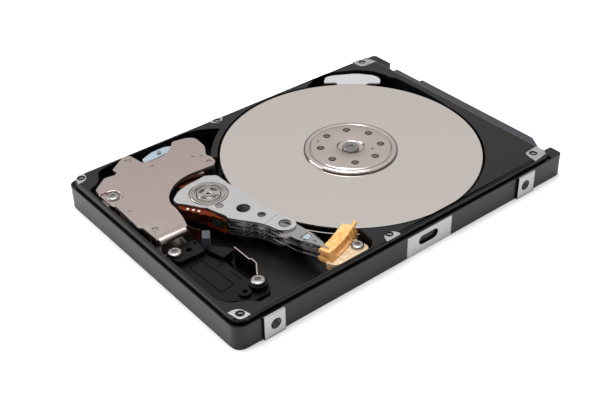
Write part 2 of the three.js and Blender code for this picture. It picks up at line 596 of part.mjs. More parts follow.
add("ramp_screw", screw(RAMP_SCREW, 1.5, 0.75, [6.3, 5.6, 3.5]), "steel");

// ---- filter, bracket and flex ---------------------------------------------------------------
add("recirculation_filter", slab([
  [-30.4, 27.4, 0.6], [-32.5, 29.7, 0.6], [-32.1, 31.8, 1], [-28.4, 37.8, 1],
  [-24.6, 40.7, 1], [-22.2, 40.9, 0.6], [-20.0, 39.1, 0.6], [-22.4, 36.6, 0.5],
  [-21.9, 35.6, 0.4], [-27.2, 29.6, 0.4], [-28.3, 30.3, 0.4],
], [3.2, 6.9]), "filter");

const BRACKET = [
  [3.4, -38.6, 0.5], [5.0, -38.9], [8.8, -39.2, 0.4], [10.6, -38.6, 0.4], [11.8, -37.3, 0.5],
  [16.0, -37.7, 0.5], [19.9, -37.4, 0.5], [22.2, -37.3, 0.5], [22.5, -35.6, 0.6],
  [24.3, -34.8, 0.8], [26.4, -35.2, 0.8], [27.6, -36.9, 0.6], [27.4, -41.5, 0.6],
  [25.2, -43.2, 0.6], [24.2, -44.9, 0.8], [22.0, -46.3, 0.8], [7.0, -46.6, 0.6],
  [5.4, -47.3, 0.8], [3.8, -47.2, 0.8], [2.9, -45.9, 0.6], [3.1, -40.0],
];
function bracket() {
  const plate = slab(BRACKET, [2.4, 4.2]);
  const west = slab([
    [3.3, -38.8, 0.5], [8.2, -39.3, 0.6], [8.0, -45.9, 0.8], [5.4, -47.1, 0.8],
    [3.8, -47.0, 0.8], [3.05, -45.9, 0.6],
  ], [4.1, 5.4]);
  const east = disc(BRACKET_SCREWS[1], 2.1, [4.1, 5.4], 28);
  const pin = disc([24.6, -40.7], 1.4, [4.1, 5.0], 24);
  // The wall carries the flexible circuit from the clamp block to the guide strip.
  const wall = slab([
    [7.2, -38.9], [7.4, -37.2, 0.4], [11.3, -34.0, 0.4], [11.9, -34.6, 0.3], [12.6, -37.6],
  ], [2.4, 5.2]);
  return cut(
    join(plate, west, east, pin, wall),
    ...BRACKET_SCREWS.map((at) => disc(at, SHAFT_HOLE_R, [2, 6], 16)),
    disc([5.6, -42.0], 0.7, [4.4, 6], 16),
    disc([24.6, -40.7], 0.6, [4.0, 6], 16),
    box([3.9, 4.9], [-39.8, -39.3], [4.6, 6]),
  );
}
add("flex_bracket", bracket(), "darkPlastic");
BRACKET_SCREWS.forEach((at, i) => {
  add(`bracket_screw_${i + 1}`, screw(at, 1.65, 0.8, [6.2, 5.4, 2.5]), "steel");
});
add("flex_clamp_block", slab([
  [3.4, -36.9, 0.2], [4.5, -35.4, 0.2], [7.0, -37.1, 0.2], [5.8, -38.5, 0.2],
], [2.4, 7.0]), "laminate");
add("flex_guide_strip", alongWall([
  [12.2, -34.2], [17.7, -34.3], [18.0, -33.8], [20.1, -34.0], [21.9, -35.3],
], 0.3, [BAY_FLOOR, 6.3]), "steel");

const FLEX_LOOP = [[-7.2, -36.7], [-4.6, -37.9], [-1.4, -38.5], [1.2, -38.2], [3.2, -37.1]];
function ribbon(path, thickness, heights) {
  const curve = new THREE.SplineCurve(path.map(([x, y]) => new THREE.Vector2(x, y)));
  return alongWall(curve.getPoints(12).map(({ x, y }) => [x, y]), thickness, heights);
}
add("flex_loop", ribbon(FLEX_LOOP, FLEX_THICKNESS, [4.2, 7.2]), "flex");

export default group;
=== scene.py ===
# An opened 2.5-inch hard disk drive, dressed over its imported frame.
import json
import math

import bpy
from mathutils import Matrix, Vector


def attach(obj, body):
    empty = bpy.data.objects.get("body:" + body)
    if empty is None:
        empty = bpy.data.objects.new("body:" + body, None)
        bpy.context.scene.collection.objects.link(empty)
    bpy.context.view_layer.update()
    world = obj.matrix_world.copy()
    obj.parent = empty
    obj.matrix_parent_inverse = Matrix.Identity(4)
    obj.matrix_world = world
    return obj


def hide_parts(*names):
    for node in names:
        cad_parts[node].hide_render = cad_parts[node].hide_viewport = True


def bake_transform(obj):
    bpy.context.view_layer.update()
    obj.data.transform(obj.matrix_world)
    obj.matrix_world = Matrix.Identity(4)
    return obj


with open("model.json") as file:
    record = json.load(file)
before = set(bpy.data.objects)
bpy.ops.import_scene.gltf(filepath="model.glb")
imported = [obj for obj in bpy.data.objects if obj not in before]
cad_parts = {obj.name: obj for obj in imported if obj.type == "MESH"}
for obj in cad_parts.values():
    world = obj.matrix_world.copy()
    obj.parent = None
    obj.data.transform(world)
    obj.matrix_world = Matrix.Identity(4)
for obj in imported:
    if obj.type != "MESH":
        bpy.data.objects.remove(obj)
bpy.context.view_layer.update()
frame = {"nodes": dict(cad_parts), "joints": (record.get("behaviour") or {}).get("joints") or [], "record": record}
MM = 0.001
SPINDLE, PIVOT = (Vector(joint["pos_m"][:2]) / MM for joint in frame["joints"][:2])

ops = bpy.ops


# ---- hands ----------------------------------------------------------------------------------
def put_down():
    """Leaves edit mode with nothing selected."""
    if bpy.context.object and bpy.context.object.mode != "OBJECT":
        ops.object.mode_set(mode="OBJECT")
    ops.object.select_all(action="DESELECT")


def pick_up(piece, mode="OBJECT"):
    """Makes one piece active, alone selected, in the mode asked for."""
    put_down()
    piece.select_set(True)
    bpy.context.view_layer.objects.active = piece
    if mode == "EDIT":
        ops.object.mode_set(mode="EDIT")


def choose(piece, kind, wanted):
    """In edit mode, selects the faces, edges or vertices that pass a test."""
    ops.object.mode_set(mode="OBJECT")
    mesh = piece.data
    for group in (mesh.polygons, mesh.edges, mesh.vertices):
        group.foreach_set("select", [False] * len(group))
    ops.object.mode_set(mode="EDIT")
    ops.mesh.select_mode(type=kind)
    ops.object.mode_set(mode="OBJECT")
    if kind == "FACE":
        for face in mesh.polygons:
            face.select = wanted(face.center, face.normal)
    elif kind == "EDGE":
        for edge in mesh.edges:
            edge.select = wanted(*(mesh.vertices[i].co for i in edge.vertices))
    else:
        for vertex in mesh.vertices:
            vertex.select = wanted(vertex.co)
    ops.object.mode_set(mode="EDIT")


def rounded(corners, steps=5):
    """The corners in millimetres, each eased by its third value into a short curve."""
    points = []
    count = len(corners)
    for i, corner in enumerate(corners):
        at = Vector(corner[:2])
        soft = corner[2] if len(corner) > 2 else 0
        if not soft:
            points.append(at)
            continue
        sides = []
        for other in (corners[i - 1], corners[(i + 1) % count]):
            way = Vector(other[:2]) - at
            sides.append(at + way * min(soft / way.length, 0.5))
        for k in range(steps + 1):
            t = k / steps
            points.append(sides[0] * (1 - t) ** 2 + at * 2 * t * (1 - t) + sides[1] * t * t)
    return points


def traced(name, points):
    """A bare path in edit mode, drawn from vertex to vertex through points in millimetres."""
    put_down()
    ops.mesh.primitive_plane_add(size=MM)
    piece = bpy.context.object
    piece.name = name
    ops.object.mode_set(mode="EDIT")
    ops.mesh.select_mode(type="VERT")
    ops.mesh.select_all(action="SELECT")
    ops.mesh.merge(type="CENTER")
    ops.mesh.select_all(action="SELECT")
    ops.transform.translate(value=points[0] * MM)
    for before, after in zip(points, points[1:]):
        ops.mesh.extrude_vertices_move(
            TRANSFORM_OT_translate={"value": (after - before) * MM})
    ops.mesh.select_all(action="SELECT")
    return piece


def drawn(name, points, low, high):
    """A plate: its outline traced, filled, and pulled up from low to high."""
    piece = traced(name, [Vector((p[0], p[1], low)) for p in points])
    ops.mesh.edge_face_add()
    ops.mesh.extrude_region_move(
        TRANSFORM_OT_translate={"value": (0, 0, (high - low) * MM)})
    ops.mesh.select_all(action="SELECT")
    ops.mesh.normals_make_consistent(inside=False)
    ops.object.mode_set(mode="OBJECT")
    return piece


def spun(name, profile, at, steps=64, span=(0, 360)):
    """A turned piece: radius and height pairs in millimetres swept about an upright axis."""
    start, end = (math.radians(a) for a in span)
    closed = profile[0][0] > 0
    aim = Vector((math.cos(start), math.sin(start), 0))
    foot = Vector((at[0], at[1], 0))
    points = [foot + aim * r + Vector((0, 0, z)) for r, z in profile]
    piece = traced(name, points)
    if closed:
        ops.mesh.edge_face_add()
        if end - start > math.tau - 0.001:
            ops.mesh.delete(type="ONLY_FACE")
            ops.mesh.select_all(action="SELECT")
    ops.mesh.spin(steps=steps, angle=start - end, center=foot * MM, axis=(0, 0, 1))
    ops.mesh.select_all(action="SELECT")
    ops.mesh.remove_doubles(threshold=MM / 1000)
    ops.mesh.normals_make_consistent(inside=False)
    ops.object.mode_set(mode="OBJECT")
    return piece


def peg(centre, radius, depth, axis="Z", sides=32):
    """A round peg or cutter along an axis, its centre and sizes in millimetres."""
    put_down()
    turn = {"X": (0, math.pi / 2, 0), "Y": (math.pi / 2, 0, 0), "Z": (0, 0, 0)}[axis]
    ops.mesh.primitive_cylinder_add(
        vertices=sides, radius=radius * MM, depth=depth * MM,
        location=[c * MM for c in centre], rotation=turn)
    return bpy.context.object


def block(low, high):
    """A box cutter between two corners in millimetres."""
    put_down()
    size = [(b - a) * MM for a, b in zip(low, high)]
    centre = [(a + b) / 2 * MM for a, b in zip(low, high)]
    ops.mesh.primitive_cube_add(size=1, location=centre, scale=size)
    return bpy.context.object


def settle(piece):
    pick_up(piece)
    ops.object.transform_apply(location=True, rotation=True, scale=True)


def applied(piece, kind, **settings):
    """Adds a modifier with its settings and applies it."""
    pick_up(piece)
    ops.object.modifier_add(type=kind)
    modifier = piece.modifiers[-1]
    for key, value in settings.items():
        setattr(modifier, key, value)
    ops.object.modifier_apply(modifier=modifier.name)
    return piece


def carved(piece, *cutters, operation="DIFFERENCE"):
    """Cuts, or joins, with other pieces, which are used up."""
    for cutter in cutters:
        settle(cutter)
        applied(piece, "BOOLEAN", operation=operation, object=cutter, solver="EXACT")
        bpy.data.objects.remove(cutter)
    return piece


def eased(piece, width, segments=2, angle=40, smooth=35):
    """Softens the sharp edges, then shades what is left."""
    applied(piece, "BEVEL", width=width * MM, segments=segments, limit_method="ANGLE",
            angle_limit=math.radians(angle), harden_normals=False)
    ops.object.shade_smooth_by_angle(angle=math.radians(smooth))
    applied(piece, "WEIGHTED_NORMAL", keep_sharp=True)
    return piece


def grown(node, name):
    """A piece grown out of a frame part, its triangles merged into clean faces."""
    put_down()
    piece = bpy.data.objects.new(name, frame["nodes"][node].data.copy())
    bpy.context.collection.objects.link(piece)
    pick_up(piece, "EDIT")
    ops.mesh.select_all(action="SELECT")
    ops.mesh.remove_doubles(threshold=MM / 500)
    ops.mesh.dissolve_limited(angle_limit=math.radians(0.5))
    ops.object.mode_set(mode="OBJECT")
    return piece


def kept(piece, body, finish, replaces=()):
    """Settles a finished piece, gives it its finish, parents it to its body and hides the frame parts it replaces.
    """
    settle(piece)
    if finish:
        piece.data.materials.clear()
        piece.data.materials.append(finish)
    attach(piece, body)
    if replaces:
        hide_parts(*replaces)
    return piece


# ---- finishes -------------------------------------------------------------------------------
def shade(code):
    """An sRGB hex colour as linear values."""
    parts = [int(code[i:i + 2], 16) / 255 for i in (1, 3, 5)]
    return [c / 12.92 if c <= 0.04045 else ((c + 0.055) / 1.055) ** 2.4 for c in parts] + [1]


def put(tree, kind, settings=None, **links):
    """Adds one node, sets its properties and sockets, and links its inputs."""
    node = tree.nodes.new("ShaderNode" + kind)
    for key, value in (settings or {}).items():
        if hasattr(node, key):
            setattr(node, key, value)
        else:
            node.inputs[key].default_value = value
    for key, source in links.items():
        tree.links.new(source, node.inputs[key.replace("_", " ")])
    return node


def finish(name, colour, roughness, metallic=0.0, **more):
    """A principled finish; returns the material, its tree, its shader and its place."""
    material = bpy.data.materials.new(name)
    material.use_nodes = True
    tree = material.node_tree
    shader = tree.nodes["Principled BSDF"]
    sockets = {"Base Color": shade(colour), "Roughness": roughness, "Metallic": metallic}
    sockets.update({key.replace("_", " "): value for key, value in more.items()})
    for key, value in sockets.items():
        shader.inputs[key].default_value = value
    place = put(tree, "TexCoord").outputs["Object"]
    return material, tree, shader, place


def mottled(tree, shader, place, colours, scale, detail=3.0, socket="Base Color"):
    """Lets a colour wander between two, over patches about 1/scale metres wide."""
    noise = put(tree, "TexNoise", {"Scale": scale, "Detail": detail}, Vector=place)
    ramp = put(tree, "ValToRGB", Fac=noise.outputs["Fac"])
    ramp.color_ramp.elements[0].position = 0.35
    ramp.color_ramp.elements[1].position = 0.65
    ramp.color_ramp.elements[0].color = shade(colours[0])
    ramp.color_ramp.elements[1].color = shade(colours[1])
    tree.links.new(ramp.outputs["Color"], shader.inputs[socket])
    return noise


def worn(tree, shader, place, low, high, scale, detail=3.0):
    """Lets the roughness wander."""
    noise = put(tree, "TexNoise", {"Scale": scale, "Detail": detail}, Vector=place)
    span = put(tree, "MapRange", {"To Min": low, "To Max": high}, Value=noise.outputs["Fac"])
    tree.links.new(span.outputs["Result"], shader.inputs["Roughness"])


def grained(tree, shader, place, scale, depth, detail=2.0, strength=0.6):
    """A bump of a depth in millimetres over grains 1/scale metres wide."""
    noise = put(tree, "TexNoise", {"Scale": scale, "Detail": detail}, Vector=place)
    bump = put(tree, "Bump", {"Strength": strength, "Distance": depth * MM},
               Height=noise.outputs["Fac"])
    tree.links.new(bump.outputs["Normal"], shader.inputs["Normal"])


# Cast aluminium under cathodic electrocoat: black, half gloss, with the faint grain of the die.
def electrocoat():
    made, tree, shader, place = finish("black_electrocoat_on_cast_aluminium", "#0A090B", 0.3,
                                        Specular_IOR_Level=0.3)
    mottled(tree, shader, place, ("#060607", "#0A090B"), 220)
    grained(tree, shader, place, 2600, 0.02, strength=0.25)
    return made


# Sputtered magnetic film on glass, lapped flat and lubricated: a warm grey mirror.
def platter_film():
    return finish("sputtered_magnetic_film", "#D2CDCA", 0.05, 1.0)[0]


# Green solder mask over copper: lighter where the traces run under it, half a millimetre apart.
def solder_mask():
    made, tree, shader, place = finish("green_solder_mask", "#16402E", 0.3)
    traces = put(tree, "TexWave", {"wave_type": "BANDS", "bands_direction": "DIAGONAL",
                                   "Scale": 160, "Distortion": 9, "Detail": 0.5,
                                   "Detail Scale": 0.3}, Vector=place)
    ramp = put(tree, "ValToRGB", Fac=traces.outputs["Fac"])
    ramp.color_ramp.interpolation = "CONSTANT"
    ramp.color_ramp.elements[0].color = shade("#143B2A")
    ramp.color_ramp.elements[1].position = 0.6
    ramp.color_ramp.elements[1].color = shade("#1F5A40")
    tree.links.new(ramp.outputs["Color"], shader.inputs["Base Color"])
    return made


# Stainless strip, turned and polished.
def polished():
    made, tree, shader, place = finish("polished_stainless_steel", "#C3B9B5", 0.13, 1.0)
    worn(tree, shader, place, 0.1, 0.17, 900)
    return made


# Low-carbon steel under satin electroless nickel: a warm taupe, faintly uneven.
def nickel():
    made, tree, shader, place = finish("satin_electroless_nickel", "#B3A7A3", 0.3, 1.0)
    worn(tree, shader, place, 0.26, 0.36, 300)
    return made


# Extruded aluminium, face milled and tumbled: bright and nearly white.
def milled():
    made, tree, shader, place = finish("milled_aluminium", "#BDBDBE", 0.4, 1.0)
    worn(tree, shader, place, 0.32, 0.42, 700)
    return made


def steel():
    made, tree, shader, place = finish("tumbled_stainless_steel", "#A6A4A4", 0.24, 1.0)
    worn(tree, shader, place, 0.2, 0.28, 500)
    return made


# Self-bonding enamelled copper wire.
def copper():
    return finish("enamelled_copper_wire", "#8A4A22", 0.32, 1.0)[0]


# Polyimide film over copper traces: amber to dark brown, glossy.
def polyimide():
    made, tree, shader, place = finish("polyimide_film", "#3A1606", 0.18, Specular_IOR_Level=0.35)
    mottled(tree, shader, place, ("#260C03", "#4E2008"), 700)
    return made


# Liquid-crystal polymer, moulded thin: amber, slightly translucent, mottled by its flow.
def amber():
    made, tree, shader, place = finish(
        "moulded_amber_polymer", "#E0A462", 0.34, Subsurface_Weight=0.15,
        Subsurface_Scale=0.001)
    mottled(tree, shader, place, ("#DB9648", "#E8B97C"), 900)
    return made


def moulded(name, colour, roughness=0.42, sheen=0.5):
    made, tree, shader, place = finish(name, colour, roughness, Specular_IOR_Level=sheen)
    grained(tree, shader, place, 3000, 0.01, strength=0.3)
    return made


def speckled(name, dark, light):
    made, tree, shader, place = finish(name, light, 0.45)
    mottled(tree, shader, place, (dark, light), 1500)
    return made


def plain(name, colour, roughness, metallic=0.0):
    made, tree, shader, place = finish(name, colour, roughness, metallic)
    worn(tree, shader, place, roughness * 0.85, roughness * 1.15, 800)
    return made


FINISHES = {
    "casting": electrocoat(),
    "board": solder_mask(),
    "epoxy": moulded("moulded_epoxy", "#17171A", 0.5),
    "dark_plastic": moulded("black_glass_filled_nylon", "#050506", 0.36, 0.14),
    "connector_plastic": moulded("slate_glass_filled_nylon", "#2B2A31", 0.45),
    "gold": plain("gold_flash_on_nickel", "#D9B366", 0.25, 1.0),
    "steel": steel(),
    "platter": platter_film(),
    "polished_steel": polished(),
    "nickel": nickel(),
    "magnet": plain("nickel_plated_magnet", "#A8A8AA", 0.25, 1.0),
    "machined_aluminium": milled(),
    "copper": copper(),
    "laminate": plain("stamped_silicon_steel", "#7A7A7E", 0.4, 1.0),
    "flex": polyimide(),
    "amber_plastic": amber(),
    "white_plastic": moulded("white_acetal", "#93A3AC", 0.35),
    "filter": moulded("electret_felt", "#ABABAD", 0.9),
    "rubber": moulded("moulded_fluoroelastomer", "#2B2B2C", 0.7),
    "ceramic": plain("lapped_ceramic", "#3A3A40", 0.2),
    "dull_steel": plain("sintered_steel", "#878586", 0.4, 1.0),
    "ground_steel": plain("ground_bearing_steel", "#BDBAB7", 0.17, 1.0),
    "ramp_foot": speckled("moulded_cream_polymer", "#C2A47E", "#DCC7A8"),
    "amber_film": moulded("thin_polyimide_film", "#5E1F03", 0.3, 0.06),
    "graphite": moulded("grey_filled_polymer", "#3C3E44", 0.45),
}


BARE = plain("machined_aluminium_bare", "#AEAEAF", 0.42, 1.0)
# The tapped threads are painted darker than bare aluminium: painted shade for the inside of the side holes.
PAINTED_SHADE_THREAD = plain("oiled_tapped_aluminium", "#4E4E52", 0.3, 1.0)


def dress_frame():
    """Gives every frame part the finish of its slot."""
    for entry in frame["record"]["subparts"]:
        part = frame["nodes"][entry["node"]]
        part.data.materials.clear()
        part.data.materials.append(FINISHES[entry["material_slot"]])


# ---- studio ---------------------------------------------------------------------------------
def camera():
    azimuth, elevation, roll = (math.radians(a) for a in (51.577, 35.439, -1.26))
    data = bpy.data.cameras.new("camera")
    data.sensor_width, data.lens = 36, 63.84
    data.clip_start, data.clip_end = 0.01, 10
    made = bpy.data.objects.new("camera", data)
    made.matrix_world = (
        Matrix.Translation((0.16641, -0.13789, 0.15031))
        @ Matrix.Rotation(azimuth, 4, "Z")
        @ Matrix.Rotation(math.pi / 2 - elevation, 4, "X")
        @ Matrix.Rotation(roll, 4, "Z"))
    bpy.context.collection.objects.link(made)
    bpy.context.scene.camera = made


def softbox(name, at, aim, size, power, colour="#FFFFFF"):
    data = bpy.data.lights.new(name, "AREA")
    data.shape, data.size, data.size_y = "RECTANGLE", size[0], size[1]
    data.energy, data.color = power, shade(colour)[:3]
    made = bpy.data.objects.new(name, data)
    made.location = at
    made.rotation_euler = (Vector(aim) - Vector(at)).to_track_quat("-Z", "Y").to_euler()
    bpy.context.collection.objects.link(made)


def studio():
    put_down()
    ops.mesh.primitive_plane_add(size=16, location=(0, 0, -0.00005))
    floor = bpy.context.object
    floor.name = "floor"
    floor.data.materials.append(finish("white_sweep_paper", "#FFFFFF", 0.9)[0])
    world = bpy.data.worlds.new("studio")
    world.use_nodes = True
    bpy.context.scene.world = world
    tree = world.node_tree
    background = tree.nodes["Background"]
    way = put(tree, "TexCoord").outputs["Generated"]
    height = put(tree, "SeparateXYZ", Vector=way).outputs["Z"]
    sky = put(tree, "ValToRGB", Fac=height)
    stops = ((0.0, "#5A5A5C"), (0.25, "#A09E9D"), (0.5, "#E9E5E2"), (1.0, "#FFFFFF"))
    for i, (position, colour) in enumerate(stops):
        stop = sky.color_ramp.elements[i] if i < 2 else sky.color_ramp.elements.new(position)
        stop.position, stop.color = position, shade(colour)
    tree.links.new(sky.outputs["Color"], background.inputs["Color"])
    background.inputs["Strength"].default_value = 1.0
    softbox("overhead", (-0.1, 0.0, 0.7), (0, 0, 0), (0.5, 0.5), 4)
    softbox("front_left", (-0.5, -0.6, 0.25), (0, 0, 0), (0.6, 0.4), 2)
    # The dark side of the room: polished metal turned towards it goes nearly black.
    ops.mesh.primitive_plane_add(size=1, location=(0.62, -0.5, 0.09))
    dark = bpy.context.object
    dark.name = "black_velvet_flag"
    dark.scale = (1.1, 0.16, 1)
    dark.rotation_euler = (math.pi / 2, 0, math.radians(51.6))
    dark.data.materials.append(finish("black_velvet", "#050505", 1.0)[0])
    settle(dark)
    dark.visible_camera = False
    bpy.context.scene.view_settings.view_transform = "Standard"


# ---- casting --------------------------------------------------------------------------------
RIM_Z, LEDGE_Z = 7.4, 6.0
RAMP_SCREW = (29.0, -13.0)
YOKE_SCREW = (-19.5, -46.0)
BRACKET_SCREWS = ((4.8, -45.2), (24.3, -37.0))
FILM = 0.14
M3_RADIUS = 1.25
SIDE_X = 34.925
SIDE_HOLES = ((-40.5, (-43.6, -38.0)), (36.1, (33.5, 39.3)))
SIDE_HOLE_Z = 3.0
COVER_SCREWS = {
    (31.8, -47.2): [(30.0, -49.1, 0.2), (30.0, -47.6, 1.2), (30.7, -46.3, 0.8),
                    (33.4, -45.6, 0.2), (33.5, -47.2, 0.8), (33.0, -48.4, 0.8)],
    (-32.2, -47.3): [(-30.4, -49.1, 0.2), (-30.4, -47.6, 1.2), (-31.1, -46.3, 0.8),
                     (-33.4, -45.7, 0.2), (-33.5, -47.2, 0.8), (-33.0, -48.5, 0.8)],
    (-31.7, 42.7): [(-33.4, 40.7, 0.2), (-31.2, 40.4, 1.2), (-29.5, 41.2, 1.0),
                    (-29.3, 45.9, 0.2), (-31.5, 45.5, 1.5), (-33.1, 43.8, 1.0)],
    (30.9, 42.9): [(29.6, 41.4, 0.5), (29.3, 45.9, 0.2), (31.5, 45.8, 1.5),
                   (33.0, 45.2, 0.5), (33.5, 40.7, 0.2), (31.5, 40.8, 1.0)],
    (31.95, -6.3): [(33.45, -8.4, 0.2), (32.0, -7.9, 1.2), (30.9, -6.3, 1.6),
                    (32.0, -4.7, 1.2), (33.45, -4.2, 0.2)],
    (-32.6, -7.0): [(-33.45, -9.2, 0.2), (-31.8, -8.3, 1.2), (-31.4, -7.0, 1.4),
                    (-31.8, -5.6, 1.2), (-33.45, -4.8, 0.2)],
}


def outside(point):
    """True for the outer edge of the rim rather than the mouth of the well or a bay."""
    x, y = abs(point.x) / MM, point.y / MM
    turn = 81 if y < 0 else 77.5
    return x > 33.58 or y < -49.38 or y > 46.48 or x + abs(y) > turn


def casting():
    piece = grown("base_casting", "cast_base")
    choose(piece, "EDGE", lambda a, b: all(
        abs(v.z / MM - RIM_Z) < 0.01 and outside(v) for v in (a, b)))
    ops.mesh.bevel(offset=0.95 * MM, segments=6, affect="EDGES")
    put_down()
    eased(piece, 0.1, 2, angle=35, smooth=40)
    kept(piece, "base", FINISHES["casting"], ["base_casting"])


def tapped(name, centre, side):
    """The crests of an M3 thread, standing just inside a side hole, in a finish darkened as painted shade of the
    hole.
    """
    turns = [(1.31, 0.0), (1.31, -2.0)]
    for i in range(5):
        turns += [(1.2, -2.0 + 0.4 * i), (1.02, -1.8 + 0.4 * i)]
    turns.append((1.2, 0.0))
    piece = spun(name, turns, (0, 0), 40)
    piece.rotation_euler = (0, side * math.pi / 2, 0)
    piece.location = [c * MM for c in centre]
    ops.object.shade_smooth_by_angle(angle=math.radians(25))
    # The thread takes the darkened finish that paints the shade inside the hole.
    kept(piece, "base", PAINTED_SHADE_THREAD)


def side_pads():
    for side in (-1, 1):
        for number, (y, (y0, y1)) in enumerate(SIDE_HOLES):
            x0, x1 = sorted((side * 34.5, side * (SIDE_X + 0.02)))
            pad = block((x0, y0, 0.05), (x1, y1, LEDGE_Z + 0.02))
            settle(pad)
            pad.name = f"side_pad_{'left' if side < 0 else 'right'}_{number}"
            carved(pad, peg((side * SIDE_X, y, SIDE_HOLE_Z), M3_RADIUS, 4, "X", 40))
            eased(pad, 0.14, 2)
            kept(pad, "base", BARE)
            tapped(f"side_thread_{'left' if side < 0 else 'right'}_{number}",
                   (side * (SIDE_X - 0.1), y, SIDE_HOLE_Z), side)


def centre_panel():
    x0, x1 = 34.2, 34.44
    panel = block((x0, -2.8, 0.05), (x1, 11.15, 5.65))
    settle(panel)
    panel.name = "centre_panel"
    middle = (1.9 + 4.4) / 2
    carved(panel, block((x0 - 1, 2.05, 1.9), (x1 + 1, 5.55, 4.4)),
           peg((x1, 2.05, middle), 1.25, 2, "X", 40), peg((x1, 5.55, middle), 1.25, 2, "X", 40))
    eased(panel, 0.12, 2)
    kept(panel, "base", BARE)


def cover_pads():
    for number, ((x, y), corners) in enumerate(COVER_SCREWS.items()):
        pad = drawn(f"cover_screw_pad_{number}", rounded(corners), 7.1, RIM_Z + 0.03)
        carved(pad, peg((x, y, RIM_Z), 1.0, 3))
        eased(pad, 0.1, 2)
        insert = spun(f"cover_screw_thread_{number}", [
            (0.5, 5.6), (1.0, 5.6), (1.0, 7.38), (0.92, 7.38), (0.5, 6.85)], (x, y), 32)
        ops.object.shade_smooth_by_angle(angle=math.radians(30))
        kept(insert, "base", FINISHES["steel"])
        kept(pad, "base", BARE)


# ---- disk pack ------------------------------------------------------------------------------
def platters():
    bore, edge = 10.0, 32.5
    for name, node, low, high in (("top_disk", "upper_platter", 6.695, 7.33),
                                  ("bottom_disk", "lower_platter", 4.85, 5.485)):
        piece = spun(name, [
            (bore, low + 0.08), (bore + 0.08, low), (edge - 0.12, low), (edge, low + 0.12),
            (edge, high - 0.12), (edge - 0.12, high), (bore + 0.08, high),
            (bore, high - 0.08)], SPINDLE, 256)
        ops.object.shade_smooth_by_angle(angle=math.radians(20))
        kept(piece, "disk_pack", FINISHES["platter"], [node])


def clamp():
    piece = spun("disk_clamp_ring", [
        (1.0, 7.35), (9.9, 7.35), (11.4, 7.35), (11.62, 7.42), (11.7, 7.56), (11.66, 7.74),
        (11.5, 7.94), (11.25, 8.09), (10.95, 8.17), (10.65, 8.15), (10.4, 8.06),
        (10.2, 8.02), (10.05, 8.1), (9.9, 8.22), (9.7, 8.25), (3.75, 8.25), (3.5, 8.2),
        (3.3, 8.02), (3.15, 7.78), (2.95, 7.7), (1.0, 7.7)], SPINDLE, 128)
    for number in range(8):
        angle = math.radians(11.9 + 45 * number)
        carved(piece, peg((SPINDLE.x + 7.5 * math.cos(angle), SPINDLE.y + 7.5 * math.sin(angle),
                           8), 0.95, 3, sides=28))
    for radius, degrees in ((8.4, -145.6), (5.5, 35.8)):
        angle = math.radians(degrees)
        carved(piece, peg((SPINDLE.x + radius * math.cos(angle),
                           SPINDLE.y + radius * math.sin(angle), 8.25), 0.35, 0.6, sides=20))
    pick_up(piece)
    ops.object.shade_smooth_by_angle(angle=math.radians(30))
    kept(piece, "disk_pack", FINISHES["polished_steel"], ["disk_clamp"])


def pan_screw(name, at, radius, top, seat, end, body, node, lobe=0.5, look=None, flat=0.74):
    """A pan-head screw with a six-lobed socket; flat is the share of its top that is level."""
    height = top - seat
    shank = radius * 0.5
    piece = spun(name, [
        (0, end), (shank, end), (shank, seat), (radius * 0.96, seat), (radius, seat + 0.06),
        (radius, seat + 0.5 * height), (radius * 0.96, seat + 0.75 * height),
        ((radius * (0.96 + flat) / 2), seat + 0.93 * height), (radius * flat, top), (0, top)],
        at, 48)
    star = []
    for k in range(48):
        angle = math.tau * k / 48
        reach = radius * lobe * (1 - 0.13 * (1 - math.cos(6 * angle)))
        star.append((at[0] + reach * math.cos(angle), at[1] + reach * math.sin(angle)))
    carved(piece, drawn("socket", star, top - 0.6 * height, top + 1))
    eased(piece, 0.03, 1, angle=50, smooth=40)
    kept(piece, body, look or FINISHES["steel"], [node])


def screws():
    pan_screw("clamp_bolt", SPINDLE, 2.1, 8.2, 7.7, 5.6, "disk_pack", "clamp_screw", 0.42,
              FINISHES["dull_steel"], 0.93)
    pan_screw("ramp_bolt", RAMP_SCREW, 1.5, 6.35, 5.6, 3.5, "base", "ramp_screw")
    pan_screw("yoke_bolt", YOKE_SCREW, 1.5, 8.45, 7.9, 4.0, "base", "yoke_screw")
    for number, at in enumerate(BRACKET_SCREWS):
        pan_screw(f"bracket_bolt_{number + 1}", at, 1.65, 6.25, 5.4, 2.5, "base",
                  f"bracket_screw_{number + 1}")


def aimed(at, degrees, corners):
    """Corners given along and across a direction from a point, turned into place."""
    angle = math.radians(degrees)
    along, across = (Vector((math.cos(a), math.sin(a))) for a in (angle, angle + math.pi / 2))
    return [(*(Vector(at[:2]) + along * c[0] + across * c[1]), *c[2:]) for c in corners]


def groove(a, b, width, low, high):
    """A long thin cutter between two points on the plan."""
    way = Vector(b) - Vector(a)
    degrees = math.degrees(math.atan2(way.y, way.x))
    half = width / 2
    return drawn("groove", rounded(aimed(a, degrees, [
        (0, -half), (way.length, -half), (way.length, half), (0, half)])), low, high)


